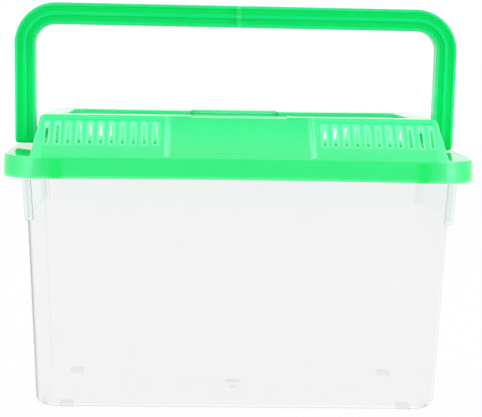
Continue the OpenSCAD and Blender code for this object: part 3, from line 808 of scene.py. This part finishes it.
# plastics: colours are the light that they send back, and the gloss comes from the shader
greenLook = {"rim": (0.027, 0.81, 0.19, 1), "reflectedShade": (0.0, 0.79, 0.13, 1), "panelHigh": (0.0, 0.735, 0.20, 1),
             "panelLow": (0.042, 0.80, 0.205, 1), "bankHigh": (0.02, 0.80, 0.27, 1),
             "bankLow": (0.045, 0.765, 0.25, 1), "pale": (0.26, 0.98, 0.48, 1), "recess": (0.03, 0.76, 0.30, 1),
             "through": (0.07, 0.30, 0.15, 1), "hatch": (0.07, 0.86, 0.36, 1), "handle": (0.0, 0.68, 0.195, 1),
             "handleLow": (0.0, 0.775, 0.23, 1), "channel": (0.0, 0.82, 0.215, 1),
             "channelLow": (0.0, 0.89, 0.25, 1), "edgeLight": (0.06, 0.58, 0.27, 1), "edgeLightLow": (0.12, 0.76, 0.42, 1),
             "glow": 0.7, "reflectedShadeAt": 116.0, "seamAt": 0.8}
clearLook = {"body": (0.43, 0.43, 0.43, 1), "tint": (0.33, 0.43, 0.42, 1), "line": (0.13, 0.155, 0.15, 1),
             "shoulder": (0.34, 0.45, 0.43, 1), "shade": (0.12, 0.125, 0.125, 1), "lit": 0.3,
             "least": 0.043, "edge": 0.23, "lineShare": 0.7, "shoulderShare": 0.13, "endShare": 0.05}


def greenShader(tree, spot, colour, rough, gloss, through=(0.0, 0.0, 0.0, 1.0)):
    # gloss plastic with a little light inside it, faint flow clouds in its colour and a faint ripple;
    # the emission carries a painted glow for the daylight that comes through the wall from behind
    ripple = tree.noise(spot, 130.0, 2.0)
    return tree.add("ShaderNodeBsdfPrincipled", None, {
        "Base Color": colour, "Roughness": rough, "IOR": 1.5, "Specular IOR Level": gloss,
        "Emission Color": through, "Emission Strength": 1.0, "Subsurface Weight": greenLook["glow"],
        "Subsurface Radius": (0.4, 1.0, 0.6), "Subsurface Scale": 0.01,
        "Normal": tree.bump(ripple, 0.05, 0.0004)})[0]


def lidPlastic():
    material, tree = newMaterial("green lid plastic")
    spot = tree.spot()
    x, y, z = tree.place(spot)
    cloud = tree.noise(spot, 14.0, 3.0)
    fine = tree.noise(spot, 420.0, 2.0)
    across = abs(x)
    onSlope = z.ramp(164.8, 166.2) * (191.2 - z).ramp(0.0, 1.2)
    bank = onSlope * across.ramp(45.8, 46.6)
    low = z.ramp(190.0, 167.0)
    colour = tree.blend(cloud.ramp(0.25, 0.75) * 0.35, greenLook["rim"], greenLook["panelHigh"])
    colour = tree.blend(onSlope, colour, tree.blend(low, greenLook["panelHigh"], greenLook["panelLow"]))
    # painted light: the vented banks are paler than the plain panel, for the white mirrored in them and the
    # daylight through their slots
    banks = tree.blend(low, greenLook["bankHigh"], greenLook["bankLow"])
    colour = tree.blend(bank * (0.85 + 0.2 * fine), colour, banks)
    # painted highlights: pale where the mesh carries line colour
    colour = tree.blend(tree.line() * 0.9, colour, greenLook["pale"])
    # the level places, the end ledges and the top, are the glossiest
    ledges = across.ramp(133.5, 134.5) * z.ramp(164.8, 165.3)
    flats = ledges + z.ramp(188.9, 189.3) * (67.0 - abs(y)).ramp(0.0, 1.0)
    # painted shade: a deeper green band in the rim near each corner, standing in for a darker reflection there
    thick = abs(across - greenLook["reflectedShadeAt"]).ramp(7.0, 1.0) * (164.8 - z).ramp(0.0, 1.0)
    thick = thick * (y.ramp(-94.0, -96.0) + y.ramp(94.0, 96.0))
    colour = tree.blend(thick, colour, greenLook["reflectedShade"])
    # painted light: the recess is painted a paler, bluer green, standing in for the light on its walls
    recess = (114.0 - across).ramp(0.0, 1.0) * (51.0 - abs(y)).ramp(0.0, 1.0) * z.ramp(182.0, 185.0)
    colour = tree.blend(recess, colour, greenLook["recess"])
    # painted glow in the emission, for the daylight that shows in the inner skins: of the vented slopes and the
    # end walls, which lie more than 0.8 mm behind the outer face, of the recess, and of the rim
    behind = (slopeHeight(abs(y)) - z).ramp(0.8, 2.0) * abs(y).ramp(67.0, 69.0) * z.ramp(164.2, 165.5)
    ending = (endReach(z) - across).ramp(0.8, 1.6) * across.ramp(124.0, 127.0) * z.ramp(164.2, 165.5)
    skirt = (165.0 - z).ramp(0.0, 0.5) * (95.6 - abs(y)).ramp(0.0, 0.5) * (149.9 - across).ramp(0.0, 0.5)
    behind = behind * (127.0 - across).ramp(0.0, 2.0)
    lit = (behind + 0.45 * ending + 0.2 * recess + 0.3 * skirt).clamped()
    through = tree.blend(lit, (0.0, 0.0, 0.0, 1.0), greenLook["through"])
    rough = (0.11 + 0.06 * cloud) * (1.0 - 0.65 * flats.clamped())
    tree.finish(greenShader(tree, spot, colour, rough, 0.3, through))
    return material


def hatchPlastic():
    material, tree = newMaterial("green hatch plastic")
    spot = tree.spot()
    cloud = tree.noise(spot, 11.0, 3.0)
    colour = tree.blend(cloud.ramp(0.25, 0.75), greenLook["hatch"], greenLook["rim"])
    tree.finish(greenShader(tree, spot, colour, 0.1 + 0.05 * cloud, 0.5))
    return material


def handlePlastic():
    material, tree = newMaterial("green handle plastic")
    spot = tree.spot()
    x, y, z = tree.place(spot)
    cloud = tree.noise(spot, 16.0, 3.0)
    sunk = (6.4 - abs(y)).ramp(0.0, 1.6)
    # painted light: the legs are painted paler than the bar, making up for the light that falls less on them
    low = z.ramp(245.0, 205.0)  # the legs are a little paler than the bar

    def both(name):
        return tree.blend(low, greenLook[name], greenLook[name + "Low"])
    colour = tree.blend(cloud.ramp(0.25, 0.75) * 0.2, both("handle"), greenLook["rim"])
    # painted light: the channels are a paler green than the faces, lifting the shade that falls in them
    colour = tree.blend(sunk * 0.9 * (1.0 - tree.line()), colour, both("channel"))
    # painted highlight: pale along the edges of both faces, less so along the middle of the sides
    colour = tree.blend(tree.line() * (0.45 + 0.4 * abs(y).ramp(3.0, 6.5)), colour, both("edgeLight"))
    # the mark where the plastic met, a thin pale line across the bar
    seam = abs(x - greenLook["seamAt"]).ramp(1.5, 0.5) * z.ramp(240.0, 244.0)
    colour = tree.blend(seam * 0.28, colour, greenLook["pale"])
    tree.finish(greenShader(tree, spot, colour, 0.16 + 0.06 * cloud, 0.1))
    return material


def clearPlastic():
    # clear where it is looked through squarely, greyer along its edges and corners and in the shoulders; the dark
    # lines along the edges and corners are painted shade
    material, tree = newMaterial("clear tub plastic")
    spot = tree.spot()
    x, y, z = tree.place(spot)
    ripple = tree.noise(spot, 22.0, 2.0)
    haze = tree.noise(spot, 60.0, 4.0)
    graze = tree.add("ShaderNodeLayerWeight", None, {"Blend": 0.5})[1]
    # painted light: the walls' painted lines are fainter on the right, as if lit by the stronger right lamp, most
    # of all under the shoulder
    fainter = x.ramp(-20.0, 20.0) * z.ramp(2.0, 3.0) * (0.5 + 0.3 * (122.0 - z).ramp(0.0, 3.0))
    line = (tree.line() ** 1.5) * (1.0 - fainter)
    # the distance from the middle less the draft, which is the same all the way up an end wall
    leaned = abs(x) - tubShape["draft"] * z
    outside = leaned.ramp(126.6, 127.6) * z.ramp(122.6, 124.0)
    colour = tree.blend(z.ramp(95.0, 165.0) * 0.8, clearLook["body"], clearLook["tint"])
    colour = tree.blend(0.75 * graze ** 6.0, colour, clearLook["shade"])
    colour = tree.blend(outside, colour, clearLook["shoulder"])
    colour = tree.blend(line, colour, clearLook["line"])
    alpha = clearLook["least"] + 0.02 * haze + clearLook["edge"] * graze ** 11.0
    alpha = alpha + clearLook["endShare"] * leaned.ramp(125.5, 127.0) * graze ** 6.0
    # painted light: the shoulders' haze is fainter on the right, as if lit by the stronger right lamp
    alpha = alpha + clearLook["shoulderShare"] * outside * (1.0 - 0.5 * x.ramp(-20.0, 20.0))
    alpha = alpha + clearLook["lineShare"] * line
    # painted glow: most of the colour is sent out as emission, so the walls show it evenly whatever light falls
    # on them
    shader = tree.add("ShaderNodeBsdfPrincipled", None, {
        "Base Color": tree.blend(clearLook["lit"], (0.0, 0.0, 0.0, 1.0), colour), "Emission Color": colour,
        "Emission Strength": 1.0 - 0.5 * clearLook["lit"], "Roughness": 0.05 + 0.06 * haze, "IOR": 1.5,
        "Specular IOR Level": 0.3, "Alpha": alpha.clamped(), "Normal": tree.bump(ripple, 0.08, 0.0008)})[0]
    tree.finish(shader)
    return material


lidGreen, hatchGreen, handleGreen, tubClear = lidPlastic(), hatchPlastic(), handlePlastic(), clearPlastic()
print("plastics made")

buildTub(tubClear)
buildLid(lidGreen)
buildHatch(hatchGreen)
buildHandle(handleGreen)
print("pieces made")
